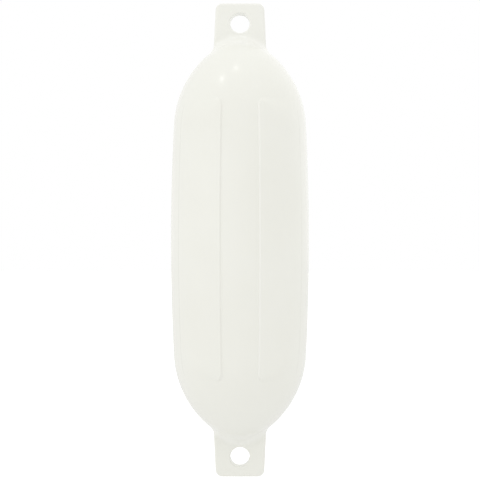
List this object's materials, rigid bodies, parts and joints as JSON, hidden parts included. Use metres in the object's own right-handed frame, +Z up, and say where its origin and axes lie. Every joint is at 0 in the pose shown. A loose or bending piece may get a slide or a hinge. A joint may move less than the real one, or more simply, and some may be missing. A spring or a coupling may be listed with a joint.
{
  "type": "boat fender",
  "caption": "Inflatable vinyl boat fender: a long round barrel with raised panels, domed ends, and a flat tab with a rope eye at each end.",
  "frame": {"origin": "middle of the fender: the centre of its bounding box, on the long axis halfway between the two eyes", "axes": "+Z up along the fender's long axis as it hangs, +Y through the eyes towards the back, +X to the right along the flat tabs as seen from the front"},
  "size_m": [0.1408, 0.1408, 0.4826],
  "materials": {
    "white_vinyl": "soft satin gloss, moulded, very faintly uneven",
    "valve_rubber": "matt, moulded"
  },
  "bodies": {
    "root": {"fender_body": "white_vinyl", "inflation_valve": "valve_rubber"}
  },
  "joints": []
}
